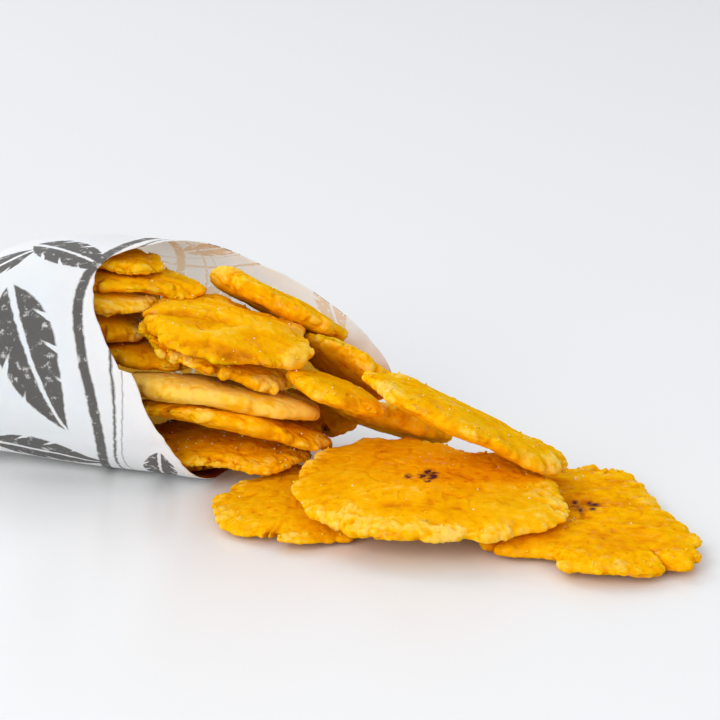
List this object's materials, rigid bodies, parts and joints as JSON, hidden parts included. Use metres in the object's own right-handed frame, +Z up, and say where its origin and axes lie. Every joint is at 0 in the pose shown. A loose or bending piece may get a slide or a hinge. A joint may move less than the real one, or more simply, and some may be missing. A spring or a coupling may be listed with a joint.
{
  "type": "serving of tostones",
  "caption": "Fried, flattened plantain slices spilling from the slanted mouth of a paper bag that lies on its side.",
  "frame": {"origin": "middle of the footprint, on the table", "axes": "+X along the length, from the bag's bottom fold towards the spilled tostones; +Y from the spilled tostones' side towards the bag's back; +Z up"},
  "size_m": [0.285, 0.1944, 0.0788],
  "materials": {
    "fried_plantain": "oily, uneven, golden",
    "bag_paper": "matt, slightly creased"
  },
  "bodies": {
    "root": {"paper_bag": "bag_paper", "tostone_01": "fried_plantain", "tostone_02": "fried_plantain", "tostone_03": "fried_plantain", "tostone_04": "fried_plantain", "tostone_05": "fried_plantain", "tostone_06": "fried_plantain", "tostone_07": "fried_plantain", "tostone_08": "fried_plantain", "tostone_09": "fried_plantain", "tostone_10": "fried_plantain", "tostone_11": "fried_plantain", "tostone_12": "fried_plantain", "tostone_13": "fried_plantain", "tostone_14": "fried_plantain", "tostone_15": "fried_plantain", "tostone_16": "fried_plantain", "tostone_17": "fried_plantain", "tostone_18": "fried_plantain", "tostone_19": "fried_plantain", "tostone_20": "fried_plantain"}
  },
  "joints": []
}
